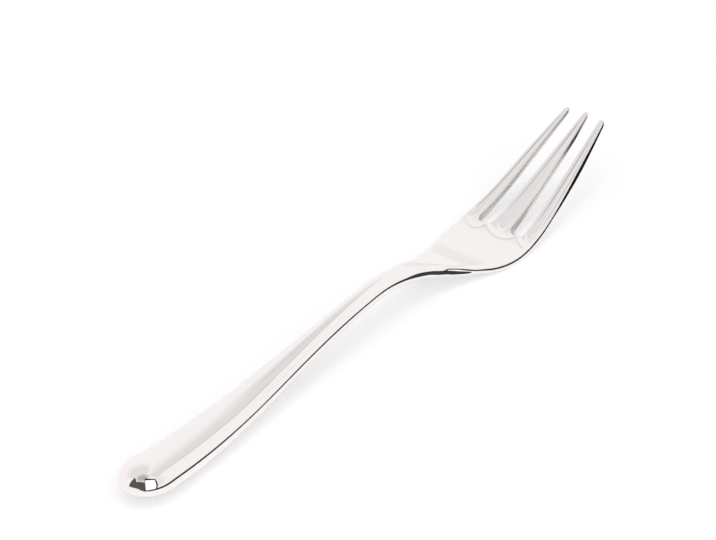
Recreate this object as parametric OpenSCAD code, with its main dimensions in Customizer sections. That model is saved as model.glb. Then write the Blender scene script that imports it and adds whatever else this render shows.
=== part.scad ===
// Fish fork with three tines. The real fork is one polished forging, drawn here as the zones a cutler
// names. They meet face to face on flat cuts across the fork. Sizes are in millimetres.
// +Y runs from the handle end to the tine tips, +X is the right-hand side and +Z is up.
// The origin is the middle of the fork's outline, on the table that it rests on.

/* [Whole fork] */
// Length from the handle end to the tip of the middle tine
overall_length = 180; // [165:1:195]
// Height of the tine tips above the table, at the middle of their thickness
tip_height = 19.4; // [17:0.1:22]

/* [Handle] */
// Width of the handle just behind its rounded end
handle_width = 13; // [11:0.1:15]
// Thickness of the handle where it rests on the table
handle_thickness = 8.2; // [7:0.1:9]
// Length over which the handle end rounds off
end_rounding = 9; // [6:0.5:12]

/* [Neck] */
// Width of the neck at its narrowest
neck_width = 5.7; // [5:0.1:7]
// Thickness of the neck at its narrowest
neck_thickness = 4.6; // [4:0.1:5.2]
// Height of the neck's middle line at the top of its arch
neck_height = 10.9; // [9.5:0.1:12.5]

/* [Palm] */
// Width of the palm at its widest
palm_width = 22.8; // [21:0.1:25]
// Thickness of the palm at the heel
palm_thickness = 2; // [1.7:0.1:2.3]
// Width of the rounded rim along the edges of the palm and the tines
rim_width = 1; // [0.6:0.1:1.2]

/* [Tines] */
// Length of the slots between the tines
slot_length = 39.5; // [34:0.5:41]
// Width of a slot at its root
slot_width = 3.5; // [3:0.1:4]
// Distance from the middle of one slot root to the middle of the other
slot_spacing = 10.2; // [9.8:0.1:10.8]
// Distance between the tips of the outer tines
tip_spread = 10.7; // [10:0.1:12]
// Width of a tine at its tip
tip_width = 1.3; // [1:0.1:1.6]
// Thickness of a tine at its tip
tip_thickness = 1; // [0.8:0.1:1.3]
// Length over which a tine's tip rounds off
tip_rounding = 1.2; // [0.8:0.1:1.6]
// How far the middle tine reaches past the outer two
middle_reach = 0.5; // [0:0.1:1.5]

/* [Hidden] */
steel = [0.80, 0.80, 0.79];

// Where the flat cuts between the zones lie, measured from the handle end
neck_cut = 0.37 * overall_length;
palm_cut = 0.62 * overall_length;
slot_root = overall_length - slot_length;

// Where the oval neck starts to flatten, and where it has become a plate with narrow rims
flatten_start = 0.57 * overall_length;
flatten_end = 0.69 * overall_length;

// Distance between cuts along the smooth stretches, and the cuts in each rounded end
step = 2.6;
end_turns = [10, 25, 40, 55, 70, 90];
// Angles of the points round a rim, from the underside to the top
rim_angles = [-80 : 16 : 80];

// The fork's lines, each a smooth curve through points of [part of the length, size]
middle_line = [
    [0, 0.50 * neck_height],
    [0.09, 0.50 * handle_thickness],
    [0.20, 0.44 * neck_height],
    [0.33, 0.71 * neck_height],
    [0.45, 0.96 * neck_height],
    [0.51, neck_height],
    [0.58, 0.80 * neck_height],
    [0.63, 0.50 * neck_height],
    [0.69, 0.19 * neck_height],
    [0.745, 0.50 * palm_thickness],
    [0.81, 0.177 * tip_height],
    [0.89, 0.496 * tip_height],
    [1, tip_height],
];
half_width_line = [
    [0, 0.53 * handle_width],
    [0.09, 0.485 * handle_width],
    [0.20, 0.40 * handle_width],
    [0.33, 0.28 * handle_width],
    [0.48, 0.50 * neck_width],
    [0.55, 0.56 * neck_width],
    [0.59, 0.69 * neck_width],
    [0.62, 0.89 * neck_width],
    [0.66, 0.32 * palm_width],
    [0.70, 0.435 * palm_width],
    [0.75, 0.50 * palm_width],
    [0.84, 0.45 * palm_width],
    [1, 0.50 * (tip_spread + tip_width)],
];
half_thickness_line = [
    [0, 0.49 * handle_thickness],
    [0.09, 0.50 * handle_thickness],
    [0.20, 0.43 * handle_thickness],
    [0.33, 0.63 * neck_thickness],
    [0.48, 0.50 * neck_thickness],
    [0.56, 0.45 * neck_thickness],
    [0.61, 0.37 * neck_thickness],
    [0.67, 0.60 * palm_thickness],
    [0.745, 0.50 * palm_thickness],
    [0.83, 0.38 * palm_thickness],
    [1, 0.50 * tip_thickness],
];

// Bend of a natural cubic curve at each of its points, found by running along them and back
function gap(p, i) = p[i + 1][0] - p[i][0];
function slope(p, i) = (p[i + 1][1] - p[i][1]) / gap(p, i);
function forward(p, i = 1, passed = [[0, 0]]) = i > len(p) - 2 ? passed :
    let (last = passed[i - 1], pivot = 2 * (gap(p, i - 1) + gap(p, i)) - gap(p, i - 1) * last[0])
    forward(p, i + 1, [each passed, [gap(p, i) / pivot,
        (6 * (slope(p, i) - slope(p, i - 1)) - gap(p, i - 1) * last[1]) / pivot]]);
function backward(passed, i, found = [0]) = i < 0 ? found :
    backward(passed, i - 1, [passed[i][1] - passed[i][0] * found[0], each found]);
function bends(p) = backward(forward(p), len(p) - 2);

// Height of the curve through points p, with bends b, at part t of the length
function span(p, t, i = 0) = i == len(p) - 2 || t <= p[i + 1][0] ? i : span(p, t, i + 1);
function on_curve(p, b, t) =
    let (i = span(p, t), h = gap(p, i), before = t - p[i][0], after = p[i + 1][0] - t)
    (b[i] * after ^ 3 + b[i + 1] * before ^ 3) / (6 * h)
        + (p[i][1] / h - b[i] * h / 6) * after
        + (p[i + 1][1] / h - b[i + 1] * h / 6) * before;

middle_bends = bends(middle_line);
half_width_bends = bends(half_width_line);
half_thickness_bends = bends(half_thickness_line);

// Sizes of the fork at a distance from the handle end
function middle(along) = on_curve(middle_line, middle_bends, along / overall_length);
function half_width(along) = on_curve(half_width_line, half_width_bends, along / overall_length);
function half_thickness(along) =
    on_curve(half_thickness_line, half_thickness_bends, along / overall_length);
settle = min([for (along = [0 : overall_length]) middle(along) - half_thickness(along)]);

// The rims meet in the middle of the oval handle and neck, and draw back to the edges of the palm
function eased(part) = let (p = max(0, min(1, part))) p * p * (3 - 2 * p);
function rim(along) =
    let (flat = eased((along - flatten_start) / (flatten_end - flatten_start)))
    (1 - flat) * half_width(along) + flat * rim_width;

// How full an end is that rounds off like an ellipse, at a distance before its last point
function fullness(before_end, rounding) =
    before_end >= rounding ? 1 : sqrt(1 - ((rounding - before_end) / rounding) ^ 2);

// Edges of a slot: straight sides that close in a half circle at the root
function slot_middle(along) =
    let (t = (along - slot_root) / slot_length) (1 - t) * slot_spacing / 2 + t * tip_spread / 4;
function slot_half(along) =
    let (t = (along - slot_root) / slot_length)
    ((1 - t) * slot_width / 2 + t * (tip_spread / 4 - tip_width / 2))
        * fullness(along - slot_root, slot_width / 2);

// Points round one cut, from low on the right over the top to low on the left
function cut(along, left, right, edge, half) = [
    for (a = rim_angles)
        [right - edge * (1 - cos(a)), along - overall_length / 2, middle(along) - settle + half * sin(a)],
    [(left + right) / 2, along - overall_length / 2, middle(along) - settle + half],
    for (a = rim_angles)
        [left + edge * (1 - cos(a)), along - overall_length / 2, middle(along) - settle - half * sin(a)],
    [(left + right) / 2, along - overall_length / 2, middle(along) - settle - half],
];

// A cut across the whole fork, narrowed where the handle end rounds off
function whole_cut(along) =
    let (full = fullness(along, end_rounding), w = half_width(along) * full)
    cut(along, -w, w, rim(along) * full, half_thickness(along) * full);

// A cut across one tine between its edges, narrowed where its tip rounds off
function tine_cut(along, inner, outer, length) =
    let (full = fullness(length - along, tip_rounding), c = (inner + outer) / 2,
         w = (outer - inner) / 2 * full)
    cut(along, c - w, c + w, min(rim_width, w), half_thickness(along) * full);

// Distances from one cut to the next in even steps
function steps(from, to) =
    let (n = ceil((to - from) / step)) [for (i = [0 : n]) from + (to - from) * i / n];

// A closed skin over cuts that follow each other, with a point in each end that its last cut closes to
module skin(cuts, first_point, last_point) {
    n = len(cuts[0]);
    points = [for (c = cuts) each c, first_point, last_point];
    sides = [
        for (i = [0 : len(cuts) - 2], j = [0 : n - 1])
            let (a = i * n + j, b = i * n + (j + 1) % n) each [[a, b, b + n], [a, b + n, a + n]],
    ];
    ends = [
        for (j = [0 : n - 1])
            let (k = (j + 1) % n, last = (len(cuts) - 1) * n)
            each [[len(points) - 2, k, j], [len(points) - 1, last + j, last + k]],
    ];
    polyhedron(points, [each sides, each ends]);
}

function on_middle(along, across = 0) = [across, along - overall_length / 2, middle(along) - settle];

// Thick oval grip with a rounded end
module handle() {
    rounded = [for (a = end_turns) end_rounding * (1 - cos(a))];
    plain = steps(end_rounding, neck_cut);
    stations = [each rounded, for (i = [1 : len(plain) - 1]) plain[i]];
    color(steel)
        skin([for (s = stations) whole_cut(s)], on_middle(0), on_middle(neck_cut));
}

// Slim arched shank that flattens as it runs down to the palm
module neck() {
    color(steel)
        skin([for (s = steps(neck_cut, palm_cut)) whole_cut(s)], on_middle(neck_cut), on_middle(palm_cut));
}

// Flat plate between the neck and the tines, with the heel that rests on the table
module palm() {
    color(steel)
        skin([for (s = steps(palm_cut, slot_root)) whole_cut(s)], on_middle(palm_cut), on_middle(slot_root));
}

// One tine from its filleted root to its rounded tip: side is -1 on the left, 0 in the middle, 1 on the right
module tine(side) {
    length = overall_length - (side == 0 ? 0 : middle_reach);
    fillet = slot_width / 2;
    root = [for (a = end_turns) slot_root + fillet * (1 - cos(a))];
    plain = steps(slot_root + fillet, length - tip_rounding);
    tip = [for (i = [len(end_turns) - 2 : -1 : 0]) length - tip_rounding * (1 - cos(end_turns[i]))];
    stations = [slot_root, each root, for (i = [1 : len(plain) - 1]) plain[i], each tip];
    function inner(s) = side == 0 ? slot_half(s) - slot_middle(s) : slot_middle(s) + slot_half(s);
    function outer(s) = side == 0 ? slot_middle(s) - slot_half(s) : half_width(s);
    function centre(s) = (inner(s) + outer(s)) / 2;
    color(steel)
        mirror([side < 0 ? 1 : 0, 0, 0])
            skin([for (s = stations) tine_cut(s, inner(s), outer(s), length)],
                 on_middle(slot_root, centre(slot_root)), on_middle(length, centre(length)));
}

module left_tine() {
    tine(-1);
}

module middle_tine() {
    tine(0);
}

module right_tine() {
    tine(1);
}

handle();
neck();
palm();
left_tine();
middle_tine();
right_tine();
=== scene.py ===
import math

import bpy
import numpy as np
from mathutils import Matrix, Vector


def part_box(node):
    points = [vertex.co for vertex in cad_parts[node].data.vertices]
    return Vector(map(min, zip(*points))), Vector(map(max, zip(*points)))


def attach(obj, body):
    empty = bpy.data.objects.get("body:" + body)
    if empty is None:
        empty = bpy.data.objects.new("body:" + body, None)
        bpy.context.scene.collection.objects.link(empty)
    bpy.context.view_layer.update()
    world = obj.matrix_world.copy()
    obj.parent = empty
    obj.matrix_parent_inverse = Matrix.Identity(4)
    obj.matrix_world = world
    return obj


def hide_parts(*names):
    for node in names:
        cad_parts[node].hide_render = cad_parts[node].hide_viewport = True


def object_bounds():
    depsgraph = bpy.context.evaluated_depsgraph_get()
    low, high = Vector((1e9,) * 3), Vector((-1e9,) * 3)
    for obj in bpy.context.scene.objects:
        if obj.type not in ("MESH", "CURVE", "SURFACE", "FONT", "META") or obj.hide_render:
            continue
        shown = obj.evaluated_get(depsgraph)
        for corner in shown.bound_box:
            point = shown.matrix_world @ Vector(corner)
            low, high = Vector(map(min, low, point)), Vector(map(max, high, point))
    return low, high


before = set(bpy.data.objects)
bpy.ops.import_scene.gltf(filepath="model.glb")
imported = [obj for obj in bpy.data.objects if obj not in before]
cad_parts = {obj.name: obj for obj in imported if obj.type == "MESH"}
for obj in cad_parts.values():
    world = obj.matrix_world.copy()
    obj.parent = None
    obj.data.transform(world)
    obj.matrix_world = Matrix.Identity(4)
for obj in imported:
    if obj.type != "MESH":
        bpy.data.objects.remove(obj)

cad_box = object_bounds()

# Handle
# The thick, oval end of the fork, which fills the hand and rests on the table. The whole fork is one
# forging of stainless steel, and the handle is its heaviest part, with a rounded end.
# Sizes are in millimetres here, and places along the fork count from the handle's end.
MM = 0.001
length = round((cad_box[1].y - cad_box[0].y) / MM)
neck_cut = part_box("neck")[0].y / MM + length / 2
palm_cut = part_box("palm")[0].y / MM + length / 2
slot_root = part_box("middle_tine")[0].y / MM + length / 2
handle_width = 13.0
handle_thickness = 8.2
end_rounding = 9.0
neck_width = 5.7
neck_thickness = 4.6
neck_height = 10.9
palm_width = 22.6
palm_thickness = 2.0
tip_height = 19.4
tip_spread = 10.7
tip_width = 1.3
tip_thickness = 1.0


def curve_through(*points):
    """A natural cubic curve through (part of the fork's length, size) points."""
    at, size = np.array(points, float).T
    gap = np.diff(at)
    slope = np.diff(size) / gap
    count = len(at)
    balance = np.eye(count)
    turn = np.zeros(count)
    for i in range(1, count - 1):
        balance[i, i - 1:i + 2] = gap[i - 1], 2 * (gap[i - 1] + gap[i]), gap[i]
        turn[i] = 6 * (slope[i] - slope[i - 1])
    bend = np.linalg.solve(balance, turn)

    def curve(along):
        part = np.asarray(along, float) / length
        i = np.clip(np.searchsorted(at, part) - 1, 0, count - 2)
        before = part - at[i]
        after = at[i + 1] - part
        return ((bend[i] * after**3 + bend[i + 1] * before**3) / (6 * gap[i])
                + (size[i] / gap[i] - bend[i] * gap[i] / 6) * after
                + (size[i + 1] / gap[i] - bend[i + 1] * gap[i] / 6) * before)

    return curve


middle = curve_through(
    (0, 0.50 * neck_height), (0.09, 0.50 * handle_thickness), (0.20, 0.44 * neck_height),
    (0.33, 0.71 * neck_height), (0.45, 0.96 * neck_height), (0.51, neck_height),
    (0.58, 0.80 * neck_height), (0.63, 0.50 * neck_height), (0.69, 0.19 * neck_height),
    (0.745, 0.50 * palm_thickness), (0.81, 0.173 * tip_height), (0.89, 0.492 * tip_height),
    (1, tip_height))
half_width = curve_through(
    (0, 0.53 * handle_width), (0.09, 0.485 * handle_width), (0.20, 0.40 * handle_width),
    (0.33, 0.28 * handle_width), (0.48, 0.50 * neck_width), (0.55, 0.56 * neck_width),
    (0.59, 0.69 * neck_width), (0.62, 0.89 * neck_width), (0.66, 0.32 * palm_width),
    (0.70, 0.435 * palm_width), (0.75, 0.50 * palm_width), (0.84, 0.450 * palm_width),
    (0.92, 0.370 * palm_width), (1, 0.50 * (tip_spread + tip_width)))
half_thickness = curve_through(
    (0, 0.49 * handle_thickness), (0.09, 0.50 * handle_thickness), (0.20, 0.43 * handle_thickness),
    (0.33, 0.63 * neck_thickness), (0.48, 0.50 * neck_thickness), (0.56, 0.45 * neck_thickness),
    (0.61, 0.37 * neck_thickness), (0.67, 0.60 * palm_thickness), (0.745, 0.50 * palm_thickness),
    (0.83, 0.42 * palm_thickness), (0.92, 0.37 * palm_thickness), (1, 0.50 * tip_thickness))
every_mm = np.arange(length + 1)
table = np.min(middle(every_mm) - half_thickness(every_mm))


def eased(value, start, end):
    """0 up to the start, 1 from the end on, and a smooth step between them."""
    part = np.clip((value - start) / (end - start), 0, 1)
    return part * part * (3 - 2 * part)


def changing(along, base, *changes):
    """A size along the fork: a base, and changes (amount, start, end) that each ease in over a stretch."""
    size = base
    for amount, start, end in changes:
        size = size + amount * eased(along, start, end)
    return size


def past(along, start):
    """How far a place lies past a start."""
    return np.maximum(along - start, 0)


def fullness(before_end, rounding):
    """How full an end is that rounds off like an ellipse, at a distance before its last point."""
    return np.sqrt(1 - np.clip(1 - before_end / rounding, 0, 1)**2)


def rounded(part, square):
    """Height of a rounded edge, from 1 inside it to 0 at its outline, at a part of the way out."""
    return (1 - part**square)**(1 / square)


def rounded_steps(start, rounding, count):
    """Distances along a rounded end, close together where it turns most."""
    return start + rounding * (1 - np.cos(np.radians(np.linspace(0, 90, count + 1)[1:])))


def steps(start, end, step):
    """Places from a start to an end, evenly spaced and no further apart than a step."""
    return np.linspace(start, end, math.ceil((end - start) / step) + 1)


def squareness(along, up=True):
    """Power of the rounding along the edges: 2 is an oval, and more makes a flatter flank. The top keeps
    a crisp edge where the neck spreads into the palm, and the underside stays softer up to the tines."""
    if up:
        return changing(along, 2, (0.3, 80, 92), (0.7, 96, 104), (2.5, 111, 112.2), (-3.5, 114, 121),
                        (0.5, 150, 158), (4.0, 157, 169))
    return changing(along, 2, (0.1, 86, 96), (0.5, 96, 106), (0.5, 106, 109), (0.8, 110.5, 113.5),
                    (-1.9, 117.5, 123), (1.5, 150, 158), (5.0, 157, 169))


# Places across the fork run from its right edge to its left edge in three lanes, one for each tine.
# Each lane is finer along its edges: round the edge itself, then over the strip beside it.
edge_steps = 16
edge_turns = np.sin(np.radians(np.linspace(0, 90, edge_steps + 1)))
rim_share = 0.15
strip_width = 0.9
strip_steps = 7
strip_share = 0.33
beside_edge = np.linspace(0, strip_width, strip_steps + 1)[1:]
outer_steps = 8
centre_steps = 12
slot_edge = 0.15


def edge_places(rim, room, along):
    """Distances in from an edge: round its rim, then over the strip beside it. Where the lane is narrow,
    each takes only a share of the room."""
    rim = np.minimum(rim, rim_share * room)
    turned = rim * (1 - rounded(edge_turns, squareness(along)))
    return np.hstack([turned, rim + np.minimum(beside_edge, strip_share * room * beside_edge)])


def outer_lane(edge, slot, rim, along):
    """Places from the outer edge of a tine to its edge along the slot."""
    from_edge = edge_places(rim, edge - slot, along)
    from_slot = edge_places(slot_edge, edge - slot, along)
    rest = np.linspace(0, 1, outer_steps + 1)[1:-1]
    first = edge - from_edge[:, -1:]
    last = slot + from_slot[:, -1:]
    return np.hstack([edge - from_edge, first + (last - first) * rest, slot + from_slot[:, ::-1]])


def centre_lane(edge, along):
    """Places across the middle tine, between its edges along the two slots."""
    from_slot = edge_places(slot_edge, 2 * edge, along)
    rest = np.linspace(1, -1, centre_steps + 1)[1:-1]
    first = edge - from_slot[:, -1:]
    return np.hstack([edge - from_slot, first * rest, from_slot[:, ::-1] - edge])


slot_length = length - slot_root
slot_width = 3.5
slot_spacing = 10.2
middle_swelling = 0.15


def slot_part(along):
    """Part of a slot's length that lies before a place."""
    return np.clip((along - slot_root) / slot_length, 0, 1)


def middle_swell(along):
    """How much each side of the middle tine stands out past a straight taper."""
    return middle_swelling * eased(along, 145, 165) * (1 - eased(along, 172, 180))


def slot_middle(along):
    """Distance of a slot's middle line from the fork's."""
    part = slot_part(along)
    return (1 - part) * slot_spacing / 2 + part * tip_spread / 4 + middle_swell(along) / 2


def slot_half(along):
    """Half the width of a slot, which starts in a half circle."""
    part = slot_part(along)
    straight = (1 - part) * slot_width / 2 + part * (tip_spread / 4 - tip_width / 2)
    straight = straight - middle_swell(along) / 2
    return straight * fullness(past(along, slot_root), slot_width / 2)


def slot_distance(across, along):
    """Distance from a slot, measured from the half circle that closes it up to where that ends."""
    fillet = slot_width / 2
    centre = slot_root + fillet
    beside = np.abs(np.abs(across) - slot_middle(along))
    round_end = np.hypot(np.abs(across) - slot_spacing / 2, along - centre) - fillet
    return np.where(along < centre, round_end, beside - slot_half(along))


flatten_start = 0.57 * length
flatten_end = 0.69 * length


def plate_rim(along):
    """Width of the rounded rim along the outer edges of the palm and the tines."""
    return changing(along, 1.0, (-0.45, 137, 142.5), (-0.30, 152, 168))


def rim_width(along):
    """Width of the rounded rim anywhere on the fork: on the oval handle it takes up each half."""
    flat = eased(along, flatten_start, flatten_end)
    return (1 - flat) * half_width(along) + flat * plate_rim(along)


crease_start = 112.6
crease_height = 0.48
crease_fall = 0.085
upright_start = 158
upright_rate = 0.006


def lean(along, rise):
    """How far a flank has moved in at a height above the fork's middle. A crease parts the lower flank,
    which the neck carries on, from the palm's own rim above it, and they become one along the palm."""
    both = changing(along, 0.06, (-0.06, 38, 60), (0.35, 84, 105), (0.22, 120, 126), (0.06, 140, 148),
                    (-0.04, 152, 157))
    both = both - upright_rate * past(along, upright_start)
    lower = changing(along, both, (0.08, 105.5, 109.5), (-0.17, 117, 121))
    upper = changing(along, both, (0.05, 107.5, 109.5), (-0.22, 110.8, 111.8), (0.08, 114.5, 118))
    crease = crease_height - crease_fall * past(along, crease_start)
    return lower * np.minimum(rise, crease) + upper * np.maximum(rise - crease, 0)


root_line = 137.7
root_drop = 0.12
root_curve = 2.8
root_slant = 0.45
slant_end = 142.7
outer_root = 8.4
outer_root_half = 3.3
lip_width = 0.8
lip_height = 0.08
lip_fade = (0.5, 0.9)
flute_line = 139.8
flute_depth = 0.10
flute_curve = 3.8
flute_half = 2.6
flute_wall = 0.75
flute_end_slope = 0.6
# Stands for an edge that is too far away to count.
far_off = 9.0


def tine_face(across, along, edge):
    """How far the top lies below the plate's own: a flute along each tine, with a round end and shoulders
    that fall away to the slots, and a shallow run-out to it that starts behind a faint lip. These roots
    are ground aslant, and lie further to the right towards the handle."""
    from_slots = slot_spacing / 2
    slanted = across - root_slant * np.maximum(slant_end - along, 0)
    outside = np.abs(slanted) > from_slots
    aside = np.where(outside, (np.abs(slanted) - outer_root) / outer_root_half, slanted / from_slots)
    start = root_line + root_curve * aside**2
    end = flute_line + flute_curve * (aside * from_slots / flute_half)**2
    lip = eased(along, start - lip_width, start) * (1 - eased(along, start, start + lip_width))
    lip = lip * (1 - eased(np.where(outside, aside, 0), *lip_fade))
    run_out = np.clip((along - start) / (flute_line - root_line), 0, 1)
    run_out = root_drop * run_out * (1 - eased(along, 148, 168))
    inside = np.minimum(slot_distance(across, along), edge + far_off * (1 - eased(along, 136, 142)))
    inset = changing(along, 0.45, (0.35, 142, 147), (-0.25, 160, 178))
    slope = changing(along, 0.14, (-0.05, 146, 153))
    shoulder = slope * np.maximum(inset - inside, 0)
    shoulder = shoulder * eased(along, 138, 141) * (1 - eased(along, 174, 179))
    inside = np.minimum(inside - inset, flute_end_slope * (along - end))
    return run_out - lip_height * lip + shoulder + flute_depth * eased(inside, 0, flute_wall)


# Slots and flutes are worked out from this far before their roots.
reach_back = 3.0


def shell(along, across, edge, centre, half, full=1.0, slot_lean=1.0):
    """Top and underside at places across the fork: rows of points, from the right edge to the left and
    back underneath. The flanks of the slots lean only a part as far as the outer ones."""
    along = along[:, None]
    to_edge = np.clip(1 - edge / np.minimum(rim_width(along), half), 0, 1)
    to_slot = np.clip(1 - slot_distance(across, along) / np.minimum(slot_edge, half), 0, 1)
    to_slot = np.where(along > slot_root - reach_back, to_slot, 0)
    thick = half_thickness(along)
    below = np.where(along > root_line - reach_back, tine_face(across, along, edge), 0)
    height = middle(along) - table
    reach = np.clip((across - centre) / half, -1, 1)
    share = np.where(edge > half, slot_lean, 1)
    sides = []
    for up, rise, square in ((1, thick - below, squareness(along)),
                             (-1, thick, squareness(along, up=False))):
        rise = up * rise * full * rounded(to_edge, square) * rounded(to_slot, square)
        x = across - lean(along, rise) * share * reach
        sides.append(np.stack([x, along - length / 2 + 0 * across, height + rise], -1))
    top, under = sides
    return np.concatenate([top, under[:, -2:0:-1]], 1)


wall_steps = 26
wall_share = 0.85


def whole_rows(along):
    """Rows of points right round the fork, across all three lanes. On the handle and the neck the places
    follow an oval, and they move over to the plate's lanes where the neck flattens."""
    full = fullness(along, end_rounding)[:, None]
    row = along[:, None]
    outer = half_width(row)
    slot = slot_spacing / 2 * outer / half_width(slot_root)
    flat = eased(row, flatten_start, flatten_end)
    right = outer_lane(outer, slot, plate_rim(row), row)
    plate = np.hstack([right, centre_lane(slot, row)[:, 1:], -right[:, -2::-1]])
    wall = 1 - rounded(np.linspace(0, wall_share, wall_steps), squareness(row))
    rest = np.linspace(0, 1, plate.shape[1] // 2 - wall_steps + 2)[1:]
    inward = wall[:, -1:] + (1 - wall[:, -1:]) * rest
    oval = outer * (1 - np.hstack([wall, inward]))
    oval = np.hstack([oval, -oval[:, -2::-1]])
    across = (1 - flat) * oval + flat * plate
    rows = shell(along, across, outer - np.abs(across), 0, outer, full)
    rows[..., 0] *= full
    return rows


zones = {}


def add_zone(name, rows, first=None, last=None, ground_and_shaded_flanks=None):
    """Keeps the skin of one zone: its points, the quads between its rows, a fan of triangles over each end,
    round where a last point is given and flat on a cut, and which quads are ground and carry painted shade,
    not polished."""
    count, ring = rows.shape[:2]
    ends = [rows[0].mean(0) if first is None else first, rows[-1].mean(0) if last is None else last]
    points = np.vstack([rows.reshape(-1, 3), ends])
    i, j = np.meshgrid(np.arange(count - 1), np.arange(ring), indexing="ij")
    here = i * ring + j
    beside = i * ring + (j + 1) % ring
    skin = np.stack([here, here + ring, beside + ring, beside], -1).reshape(-1, 4)
    j = np.arange(ring)
    k = (j + 1) % ring
    last_row = (count - 1) * ring
    start = np.stack([np.full(ring, count * ring), j, k], -1)
    stop = np.stack([np.full(ring, count * ring + 1), last_row + k, last_row + j], -1)
    fans = ((start, first is not None, -1), (stop, last is not None, 1))
    ground_and_shaded_flanks = np.zeros(ring, bool) if ground_and_shaded_flanks is None else ground_and_shaded_flanks
    shaded_ground_faces = np.tile(ground_and_shaded_flanks & np.roll(ground_and_shaded_flanks, -1), count - 1)
    zones[name] = (points, skin, fans, shaded_ground_faces)


handle_rows = np.concatenate([rounded_steps(0, end_rounding, count=16),
                              steps(end_rounding, neck_cut, step=0.8)[1:]])
nose = np.array([0, -length / 2, middle(0) - table])
add_zone("handle", whole_rows(handle_rows), first=nose)

# Neck
# The slim shank between the handle and the palm, drawn out and arched when the fork is forged.
# Its flanks are ground flat where it runs down to the palm.
add_zone("neck", whole_rows(steps(neck_cut, palm_cut, step=0.6)))

# Palm
# The flat plate that carries the tines. It is rolled thin, and its heel rests on the table.
# Its rows come close together near the slots, where the lip and the roots of the flutes lie.
slot_end = slot_edge * (1 - np.sqrt(1 - edge_turns**2))
fine_length = 6.0
fine_rows = steps(slot_root - fine_length, slot_root - slot_edge, step=0.15)
near_slot = np.concatenate([fine_rows[:-1], slot_root - slot_end[::-1]])
palm_rows = np.concatenate([steps(palm_cut, near_slot[0], step=0.5)[:-1], near_slot])
add_zone("palm", whole_rows(palm_rows))

# Tines
# Three tapering prongs, left standing when the two slots are punched out of the plate and ground
# smooth. They start in rounded roots and sweep up to blunt tips.
tip_rounding = 1.2
middle_reach = 0.5
middle_aside = 0.25
fillet_rows = rounded_steps(slot_root, slot_width / 2, count=12)
# The middle tine's flanks lean more or less by a rate for each millimetre past a place.
middle_lean_rates = ((0.027, 160), (-0.05, 172))


def tine_rows(end):
    """Places along a tine, close together in its root and round its tip."""
    tip = end - rounded_steps(0, tip_rounding, count=8)[::-1]
    straight = steps(fillet_rows[-1], tip[0], step=0.5)
    return np.concatenate([[slot_root], fillet_rows, straight[1:], tip[1:]])


def tine(end, side):
    """Rows of points round a tine, its last point, and which points of a row lie on the slots' flanks.
    The middle tine stands a little to the right, and the left one mirrors the right one."""
    along = tine_rows(end)
    full = fullness(end - along, tip_rounding)[:, None]
    row = along[:, None]
    if side == 0:
        centre = 0 * row
        half = slot_middle(row) - slot_half(row)
        across = centre_lane(half, row)
        edge = np.full_like(across, far_off)
        aside = middle_aside * changing(row, 0, (1, 146, 158), (-0.4, 172, 180))
        slot_lean = changing(row, 0.98, (-0.68, 144, 155))
        for rate, start in middle_lean_rates:
            slot_lean = slot_lean + rate * past(row, start)
    else:
        inner = slot_middle(row) + slot_half(row)
        outer = half_width(row)
        centre = (inner + outer) / 2
        half = (outer - inner) / 2
        across = outer_lane(outer, inner, plate_rim(row), row)
        edge = outer - across
        aside = 0 * row
        slot_lean = changing(row, 0.66, (-0.28, 150, 165))
    rows = shell(along, across, edge, centre, half, full, slot_lean)
    rows[..., 0] = centre + (rows[..., 0] - centre) * full + aside
    tip = np.array([(centre + aside)[-1, 0], end - length / 2, middle(end) - table])
    count = across.shape[1]
    # Points on the slots' flanks take the ground steel, whose darker colour is painted shade.
    ground_and_shaded_flanks = np.zeros(rows.shape[1], bool)
    ground_and_shaded_flanks[count - edge_steps:count + edge_steps - 1] = True
    if side == 0:
        ground_and_shaded_flanks |= np.roll(ground_and_shaded_flanks, count - 1)
    if side < 0:
        rows = rows * (-1, 1, 1)
        rows = np.roll(rows[:, ::-1], count, axis=1)
        ground_and_shaded_flanks = np.roll(ground_and_shaded_flanks[::-1], count)
        tip = tip * (-1, 1, 1)
    return rows, tip, ground_and_shaded_flanks


for name, side in (("left_tine", -1), ("middle_tine", 0), ("right_tine", 1)):
    rows, tip, ground_and_shaded_flanks = tine(length - (middle_reach if side else 0), side)
    add_zone(name, rows, last=tip, ground_and_shaded_flanks=ground_and_shaded_flanks)


# Polished skin
# The zones are one piece of steel, polished all over in one go, so each takes its shading from its
# neighbours too and a reflection runs across the cuts without a break.
def srgb(code):
    """Linear colour of an sRGB hex value."""
    parts = [int(code[i:i + 2], 16) / 255 for i in (1, 3, 5)]
    return [p / 12.92 if p <= 0.04045 else ((p + 0.055) / 1.055)**2.4 for p in parts] + [1]


def add_node(tree, kind, links=(), **settings):
    """Adds a node with its settings, and links its inputs: (input, node, output)."""
    node = tree.nodes.new(kind)
    for name, value in settings.items():
        if name.startswith("in_"):
            key = name[3:]
            node.inputs[int(key) if key.isdigit() else key.replace("_", " ")].default_value = value
        else:
            setattr(node, name, value)
    for target, source, output in links:
        tree.links.new(source.outputs[output], node.inputs[target])
    return node


def new_material(name):
    """A material that has no nodes yet, and its node tree."""
    material = bpy.data.materials.new(name)
    material.use_nodes = True
    material.node_tree.nodes.clear()
    return material, material.node_tree


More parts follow.
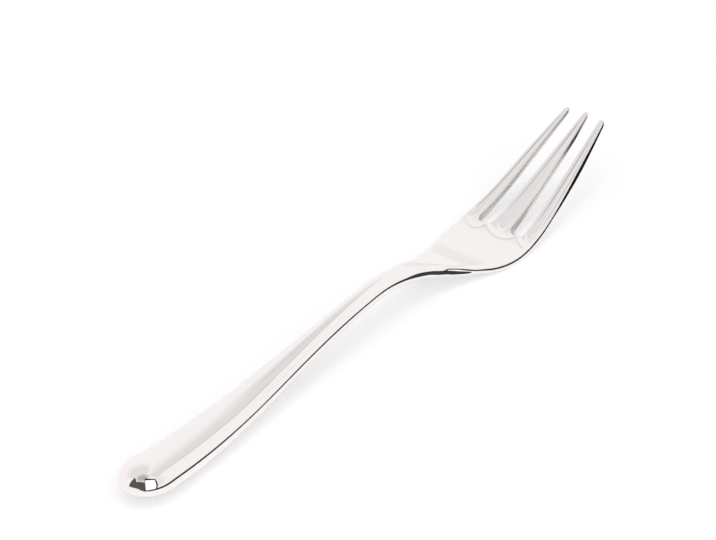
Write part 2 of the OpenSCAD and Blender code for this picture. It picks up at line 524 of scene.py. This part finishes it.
# Stainless steel, mirror polished on a wheel: bright and a little warm, with crisp reflections.
# Faint polishing lines run along the fork, and handling leaves patches that are slightly less sharp.
steel, tree = new_material("mirror_polished_stainless_steel")
clean_colour = "#F5F0EF"
handled_colour = "#F2EDEC"
patch_size = 14 * MM
line_gap = 0.25 * MM
line_length = 9 * MM
place = add_node(tree, "ShaderNodeTexCoord")
patches = add_node(tree, "ShaderNodeTexNoise", [("Vector", place, "Object")],
                   in_Scale=1 / patch_size, in_Detail=2.0)
drawn = add_node(tree, "ShaderNodeVectorMath", [(0, place, "Object")], operation="MULTIPLY",
                 in_1=(1 / line_gap, 1 / line_length, 1 / line_gap))
lines = add_node(tree, "ShaderNodeTexNoise", [("Vector", drawn, "Vector")], in_Scale=1.0, in_Detail=1.0)
blurred = add_node(tree, "ShaderNodeMapRange", [("Value", patches, "Fac")],
                   in_From_Min=0.35, in_From_Max=0.7, in_To_Min=0.03, in_To_Max=0.055)
grain = add_node(tree, "ShaderNodeMapRange", [("Value", lines, "Fac")],
                 in_To_Min=-0.012, in_To_Max=0.012)
rough = add_node(tree, "ShaderNodeMath", [(0, blurred, "Result"), (1, grain, "Result")], operation="ADD")
tint = add_node(tree, "ShaderNodeMix", [("Factor", patches, "Fac")], data_type="RGBA")
for socket in tint.inputs:
    if socket.type == "RGBA":
        socket.default_value = srgb(clean_colour if socket.name == "A" else handled_colour)
metal = add_node(tree, "ShaderNodeBsdfPrincipled", [("Roughness", rough, "Value")], in_Metallic=1.0)
tree.links.new(next(o for o in tint.outputs if o.type == "RGBA"), metal.inputs["Base Color"])
add_node(tree, "ShaderNodeOutputMaterial", [("Surface", metal, "BSDF")])

# The same steel on the flanks of the slots, where a wheel doesn't reach: ground, so blurred, and given a
# darker colour that is painted shade for the shade between the tines.
# Fine scratches run along the flanks, and use has worn them smoother towards the tips.
ground_steel_and_painted_shade, tree = new_material("ground_steel_with_painted_slot_shade")
# Painted shade: the shade on the flanks between the tines is painted into this darker colour.
ground_colour_with_painted_shade = "#E2DEDC"
scratch_gap = 0.12 * MM
scratch_length = 4 * MM
worn_start = 70 * MM
worn_end = 82 * MM
place = add_node(tree, "ShaderNodeTexCoord")
drawn = add_node(tree, "ShaderNodeVectorMath", [(0, place, "Object")], operation="MULTIPLY",
                 in_1=(1 / scratch_length, 1 / scratch_length, 1 / scratch_gap))
scratches = add_node(tree, "ShaderNodeTexNoise", [("Vector", drawn, "Vector")], in_Scale=1.0, in_Detail=2.0)
axes = add_node(tree, "ShaderNodeSeparateXYZ", [("Vector", place, "Object")])
worn = add_node(tree, "ShaderNodeMapRange", [("Value", axes, "Y")],
                in_From_Min=worn_start, in_From_Max=worn_end, in_To_Min=0.0, in_To_Max=0.12)
marks = add_node(tree, "ShaderNodeMapRange", [("Value", scratches, "Fac")], in_To_Min=0.22, in_To_Max=0.38)
rough = add_node(tree, "ShaderNodeMath", [(0, marks, "Result"), (1, worn, "Result")], operation="SUBTRACT")
metal = add_node(tree, "ShaderNodeBsdfPrincipled", [("Roughness", rough, "Value")], in_Metallic=1.0,
                 in_Base_Color=srgb(ground_colour_with_painted_shade))
add_node(tree, "ShaderNodeOutputMaterial", [("Surface", metal, "BSDF")])

# Points of two zones that share a place on a cut share one shading direction there.
tiny = 1e-12
all_points = np.vstack([zone[0] for zone in zones.values()])
starts = np.cumsum([0] + [len(zone[0]) for zone in zones.values()])
places, same = np.unique(np.round(all_points, decimals=4), axis=0, return_inverse=True)
same = same.ravel()
turned = np.zeros_like(places)
for start, (points, skin, fans, _) in zip(starts, zones.values()):
    a, b, c, d = (points[skin[:, i]] for i in range(4))
    facing = np.cross(c - a, d - b)
    for i in range(4):
        np.add.at(turned, same[start + skin[:, i]], facing)
    for fan, is_round, _ in fans:
        if is_round:
            a, b, c = (points[fan[:, i]] for i in range(3))
            facing = np.cross(b - a, c - a)
            for i in range(3):
                np.add.at(turned, same[start + fan[:, i]], facing)
turned /= np.linalg.norm(turned, axis=1)[:, None] + tiny

for start, (name, (points, skin, fans, shaded_ground_faces)) in zip(starts, zones.items()):
    faces = skin.tolist()
    finish_and_shade = shaded_ground_faces.astype(int).tolist()
    shading = [turned[same[start + skin.ravel()]]]
    for fan, is_round, way in fans:
        faces += fan.tolist()
        finish_and_shade += [0] * len(fan)
        smooth = turned[same[start + fan.ravel()]]
        flat = np.tile((0.0, way, 0.0), (fan.size, 1))
        shading.append(smooth if is_round else flat)
    mesh = bpy.data.meshes.new("polished_" + name)
    mesh.from_pydata((points * MM).tolist(), [], faces)
    mesh.materials.append(steel)
    mesh.materials.append(ground_steel_and_painted_shade)
    mesh.polygons.foreach_set("use_smooth", [True] * len(faces))
    mesh.polygons.foreach_set("material_index", finish_and_shade)
    mesh.normals_split_custom_set(np.vstack(shading).tolist())
    mesh.update()
    piece = bpy.data.objects.new("polished_" + name, mesh)
    bpy.context.scene.collection.objects.link(piece)
    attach(piece, "root")
    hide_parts(name)

# Table
# A plain white top that the fork lies on, wide enough to reach past every view. It is a board with
# a matt laminate, laid flat. Sizes from here on are in metres.
floor_half = 2.5
floor_corners = ((-1, -1), (1, -1), (1, 1), (-1, 1))
mesh = bpy.data.meshes.new("white_table")
mesh.from_pydata([(x * floor_half, y * floor_half, 0) for x, y in floor_corners], [], [(0, 1, 2, 3)])
floor = bpy.data.objects.new("white_table", mesh)
bpy.context.scene.collection.objects.link(floor)

# Matt white laminate, lit until it looks all but white: shadows on it stay faint, and the steel
# mirrors it a little brighter than the light on it would make it.
paper, tree = new_material("matt_white_laminate")
paper_colour = "#F7F7F7"
white_colour = "#FFFFFF"
seen_white = 0.645
mirrored_white = 0.35
seen = add_node(tree, "ShaderNodeLightPath")
matt = add_node(tree, "ShaderNodeBsdfDiffuse", in_Color=srgb(paper_colour))
white = add_node(tree, "ShaderNodeEmission", in_Color=srgb(white_colour), in_Strength=1.0)
direct = add_node(tree, "ShaderNodeMath", [(0, seen, "Diffuse Depth")], operation="LESS_THAN", in_1=0.5)
mirrored = add_node(tree, "ShaderNodeMath", [(0, seen, "Is Glossy Ray"), (1, direct, "Value")],
                    operation="MULTIPLY")
mirrored = add_node(tree, "ShaderNodeMath", [(0, mirrored, "Value")], operation="MULTIPLY",
                    in_1=mirrored_white)
share = add_node(tree, "ShaderNodeMath", [(0, seen, "Is Camera Ray"), (2, mirrored, "Value")],
                 operation="MULTIPLY_ADD", in_1=seen_white)
both = add_node(tree, "ShaderNodeMixShader",
                [(0, share, "Value"), (1, matt, "BSDF"), (2, white, "Emission")])
add_node(tree, "ShaderNodeOutputMaterial", [("Surface", both, "Shader")])
mesh.materials.append(paper)


# Light
# A white tent lit from outside, which the polished steel mirrors: a grey flap over the handle, a greyer
# patch of roof over the tines, a softbox in a black frame, a low ledge along the right, and the dark
# room on the camera's side.
def direction(azimuth, elevation):
    """Unit vector at an azimuth from +Y towards +X and an elevation, both in degrees."""
    a = math.radians(azimuth)
    e = math.radians(elevation)
    return (math.sin(a) * math.cos(e), math.cos(a) * math.cos(e), math.sin(e))


def cosine(degrees):
    """Cosine of an angle in degrees."""
    return math.cos(math.radians(degrees))


world = bpy.data.worlds.new("white_tent")
bpy.context.scene.world = world
world.use_nodes = True
tree = world.node_tree
tree.nodes.clear()

# What the steel mirrors: a white tent with dimmer patches. Each has an azimuth, an elevation, a radius
# and a softness, all in degrees, and a brightness.
tent_level = 1.02
dimmer_patches = (
    (-23, 3.5, 6.5, 6.5, 0.905), (85, 45, 24, 8, 0.9), (-76, 58, 22, 7, 0.93),
    (-67, 63.5, 18, 2.5, 0.845), (0, 90, 12, 6, 0.5))
place = add_node(tree, "ShaderNodeTexCoord")
level = add_node(tree, "ShaderNodeValue")
level.outputs[0].default_value = tent_level
level_output = "Value"
for azimuth, elevation, radius, soft, bright in dimmer_patches:
    near = add_node(tree, "ShaderNodeVectorMath", [(0, place, "Generated")], operation="DOT_PRODUCT",
                    in_1=direction(azimuth, elevation))
    inside = add_node(tree, "ShaderNodeMapRange", [("Value", near, "Value")],
                      interpolation_type="SMOOTHSTEP",
                      in_From_Min=cosine(radius + soft), in_From_Max=cosine(radius - soft))
    level = add_node(tree, "ShaderNodeMix", [(0, inside, "Result"), (2, level, level_output)], in_3=bright)
    level_output = "Result"
sky = add_node(tree, "ShaderNodeBackground", [("Color", level, "Result")])

# What lights the table: most comes through a wide round of the roof, and little from elsewhere.
roof_middle = direction(135, 62)
roof_edge = 62
roof_full = 38
roof_level = 1.72
wall_level = 0.05
path = add_node(tree, "ShaderNodeLightPath")
direct = add_node(tree, "ShaderNodeMath", [(0, path, "Diffuse Depth")], operation="LESS_THAN", in_1=0.5)
roof = add_node(tree, "ShaderNodeVectorMath", [(0, place, "Generated")], operation="DOT_PRODUCT",
                in_1=roof_middle)
lit = add_node(tree, "ShaderNodeMapRange", [("Value", roof, "Value")], interpolation_type="SMOOTHSTEP",
               in_From_Min=cosine(roof_edge), in_From_Max=cosine(roof_full),
               in_To_Min=wall_level, in_To_Max=roof_level)
dimmer = add_node(tree, "ShaderNodeMix", [(0, direct, "Value"), (2, lit, "Result")], in_3=1.0)
plain = add_node(tree, "ShaderNodeBackground", [("Strength", dimmer, "Result")], in_Color=srgb(white_colour))
shown = add_node(tree, "ShaderNodeMath", [(0, path, "Is Glossy Ray"), (1, direct, "Value")],
                 operation="MULTIPLY")
mirrored = add_node(tree, "ShaderNodeMixShader",
                    [(0, shown, "Value"), (1, plain, "Background"), (2, sky, "Background")])
add_node(tree, "ShaderNodeOutputWorld", [("Surface", mirrored, "Shader")])

# A lamp above the handle gives the shadow its direction.
lamp_distance = 0.85
key = bpy.data.lights.new("soft_lamp", "AREA")
key.shape = "DISK"
key.size = 0.22
key.energy = 1.15
lamp = bpy.data.objects.new("soft_lamp", key)
lamp.location = lamp_distance * Vector(direction(160, 69))
lamp.rotation_euler = (-Vector(lamp.location)).to_track_quat("-Z", "Y").to_euler()
lamp.visible_glossy = False
bpy.context.scene.collection.objects.link(lamp)


def card_material(name, level):
    """A material that shows one tone in a reflection, whatever light falls on it."""
    material, tree = new_material(name)
    tone = add_node(tree, "ShaderNodeEmission", in_Color=(level, level, level, 1), in_Strength=1.0)
    add_node(tree, "ShaderNodeOutputMaterial", [("Surface", tone, "Emission")])
    return material


def add_card(name, corners, material):
    """A card that only reflections show, so it neither lights nor shades the table."""
    mesh = bpy.data.meshes.new(name)
    mesh.from_pydata([tuple(c) for c in corners], [], [tuple(range(len(corners)))])
    mesh.materials.append(material)
    card = bpy.data.objects.new(name, mesh)
    card.visible_camera = False
    card.visible_diffuse = False
    card.visible_shadow = False
    card.visible_transmission = False
    bpy.context.scene.collection.objects.link(card)
    return card


def seen_from_nose(distance, *corners):
    """Corners of a card round the handle's end, each at an azimuth and an elevation seen from there."""
    return [Vector((nose * MM).tolist()) + distance * Vector(direction(*corner)) for corner in corners]


# The room behind the camera is unlit, and its card carries that as painted shade in one dark tone; the frame
# is
# black velvet and the softbox white cloth: together they make the dark and bright shapes in the handle's
# end.
painted_unlit_room_shade = card_material("painted_shade_of_unlit_room", 0.10)
velvet = card_material("black_velvet", 0.012)
cloth = card_material("white_diffuser", 1.3)
add_card("dark_room", seen_from_nose(
    0.50, (-163, 26), (-152, 48), (-131, 65), (-106, 70), (-128, 75), (-170, 71), (113, 70), (124, 4),
    (141, 3), (147, 20), (166, 27), (-175, 25)), painted_unlit_room_shade)
add_card("softbox_frame", seen_from_nose(
    0.45, (60, 82), (60, 58), (91, 3.2), (124, 8), (97, 80)), velvet)
add_card("softbox", seen_from_nose(
    0.42, (96.7, 77.4), (66.6, 57.4), (95.2, 3.9), (123.7, 9.2)), cloth)

# The ledge runs along the fork's right, in grey felt and then in velvet. The right flanks mirror it as
# a dark line, whose edge follows the ledge's uneven top. Each corner has a place along it and a height.
ledge_x = 0.036
felt = card_material("grey_felt", 0.05)
near_ledge = (
    (-0.12, 0.0003), (0.075, 0.0003), (0.075, 0.0185), (0.068, 0.0158), (0.055, 0.0151), (0.04, 0.0145),
    (0.005, 0.0135), (-0.025, 0.0085), (-0.05, 0.0092), (-0.12, 0.0092))
far_ledge = (
    (0.075, 0.0003), (0.26, 0.0003), (0.26, 0.016), (0.097, 0.016), (0.09, 0.0175), (0.082, 0.0195),
    (0.075, 0.0185))
add_card("grey_ledge", [(ledge_x, y, z) for y, z in near_ledge], felt)
add_card("black_ledge", [(ledge_x, y, z) for y, z in far_ledge], velvet)

# The flap is thin grey nylon that hangs level over the handle. It is darkest along its near edge, which
# bends back at one end, and it thins out behind that edge and towards its far end. Each stop has a part
# of the flap's width and how much it covers there.
flap_material, tree = new_material("thin_grey_nylon")
flap_level = 0.66
flap_start = Vector((0.0310, 0.0254 - length * MM / 2, 0.040))
flap_end = Vector((-0.024, 0.128 - length * MM / 2, 0.040))
flap_width = 0.034
bend_start = 0.010
bend_end = 0.038
bend_back = 0.012
bend_steps = 14
fade_start = 0.65
stops = ((0.0, 1.0), (0.12, 0.55), (0.5, 0.5), (0.75, 0.2), (1.0, 0.0))
run = flap_end - flap_start
place = add_node(tree, "ShaderNodeTexCoord")
axes = add_node(tree, "ShaderNodeSeparateXYZ", [("Vector", place, "Object")])
bent = add_node(tree, "ShaderNodeMapRange", [("Value", axes, "X")], interpolation_type="SMOOTHSTEP",
                in_From_Min=bend_start, in_From_Max=bend_end, in_To_Min=bend_back, in_To_Max=0.0)
behind = add_node(tree, "ShaderNodeMapRange", [("Value", axes, "Y"), ("From Min", bent, "Result")],
                  in_From_Max=flap_width)
fade = add_node(tree, "ShaderNodeMapRange", [("Value", axes, "X")],
                in_From_Min=fade_start * run.length, in_From_Max=run.length, in_To_Min=1.0, in_To_Max=0.35)
tones = add_node(tree, "ShaderNodeValToRGB", [("Fac", behind, "Result")])
while len(tones.color_ramp.elements) < len(stops):
    tones.color_ramp.elements.new(0.5)
for element, (position, value) in zip(tones.color_ramp.elements, stops):
    element.position = position
    element.color = (value, value, value, 1)
cover = add_node(tree, "ShaderNodeMath", [(0, tones, "Color"), (1, fade, "Result")], operation="MULTIPLY")
clear = add_node(tree, "ShaderNodeBsdfTransparent")
grey = add_node(tree, "ShaderNodeEmission", in_Color=(flap_level, flap_level, flap_level, 1),
                in_Strength=1.0)
veil = add_node(tree, "ShaderNodeMixShader",
                [(0, cover, "Value"), (1, clear, "BSDF"), (2, grey, "Emission")])
add_node(tree, "ShaderNodeOutputMaterial", [("Surface", veil, "Shader")])
flap_corners = [(0, bend_back, 0)]
for x in np.linspace(bend_start, bend_end, bend_steps + 1):
    flap_corners.append((x, bend_back * (1 - eased(x, bend_start, bend_end)), 0))
flap_corners += [(run.length, 0, 0), (run.length, flap_width, 0), (0, flap_width, 0)]
flap = add_card("grey_flap", flap_corners, flap_material)
flap.location = flap_start
flap.rotation_euler = (0, 0, math.atan2(run.y, run.x))

# Camera
# Stands at the handle's right, above the table, as the photograph was taken.
photo_width = 716
sensor = 36.0
camera_azimuth = 38.5
camera_elevation = 33.9
camera_distance = 0.6
focal_pixels = 2362
target = Vector((-0.0188, 0.0159, 0))
towards = Vector(direction(180 - camera_azimuth, camera_elevation))
eye = bpy.data.cameras.new("camera")
eye.sensor_width = sensor
eye.lens = sensor * focal_pixels / photo_width
camera = bpy.data.objects.new("camera", eye)
camera.location = target + camera_distance * towards
camera.rotation_euler = (-towards).to_track_quat("-Z", "Y").to_euler()
bpy.context.scene.collection.objects.link(camera)
bpy.context.scene.camera = camera
bpy.context.scene.view_settings.view_transform = "Standard"
